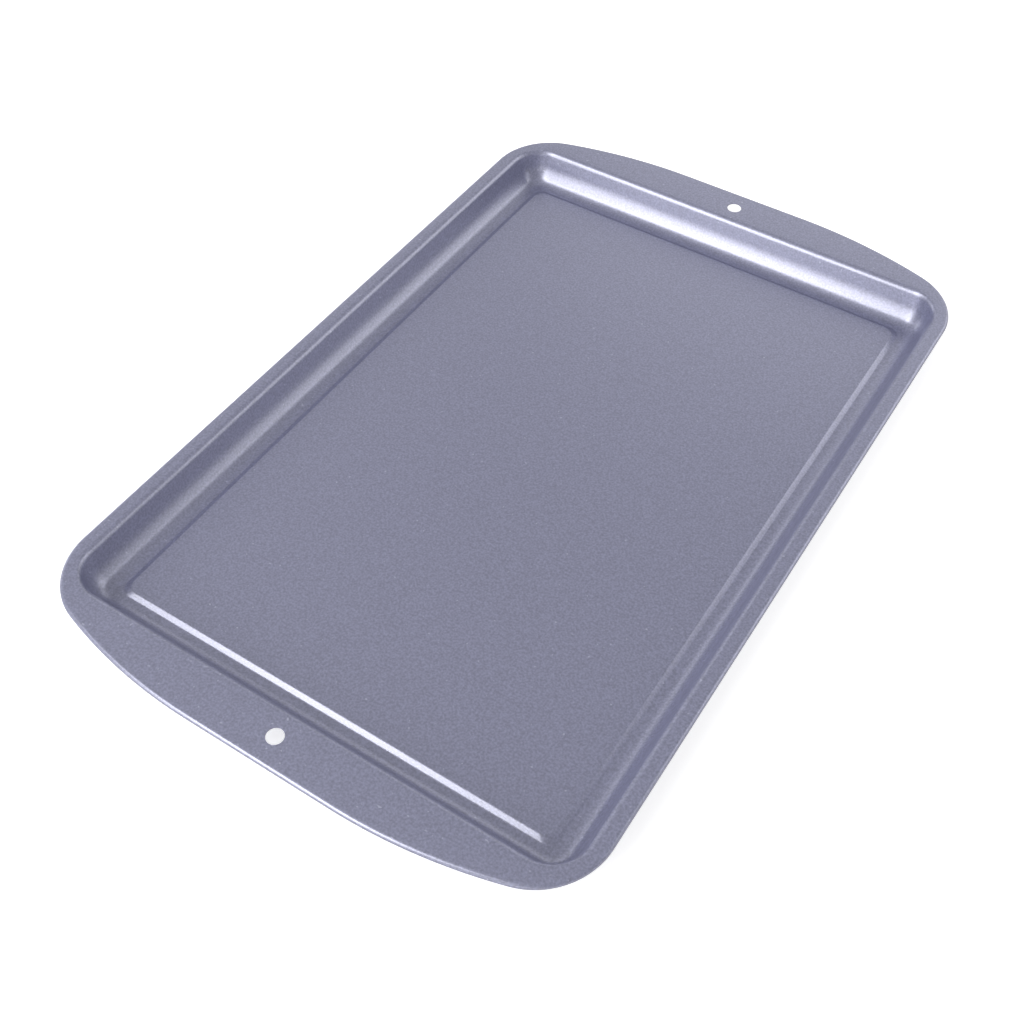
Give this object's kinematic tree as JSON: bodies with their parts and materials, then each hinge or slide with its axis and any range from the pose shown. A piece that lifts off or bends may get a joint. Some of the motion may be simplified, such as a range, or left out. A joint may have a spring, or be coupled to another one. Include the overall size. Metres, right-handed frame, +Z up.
{
  "type": "cookie sheet",
  "caption": "Shallow rectangular baking sheet pressed from coated steel, with a raised floor, sloping walls, a rolled wire edge and a wide handle with a hang hole at each end.",
  "frame": {"origin": "on the surface the pan stands on, under the middle of the raised floor", "axes": "+Z up out of the open pan, +Y along the pan from handle to handle, +X across it"},
  "size_m": [0.274, 0.4318, 0.0178],
  "materials": {
    "coated_steel": "satin lavender-grey metallic non-stick coat with a fine speckle",
    "wire_steel": "bright drawn steel wire"
  },
  "bodies": {
    "root": {"pan_body": "coated_steel", "rim_wire": "wire_steel"}
  },
  "joints": []
}
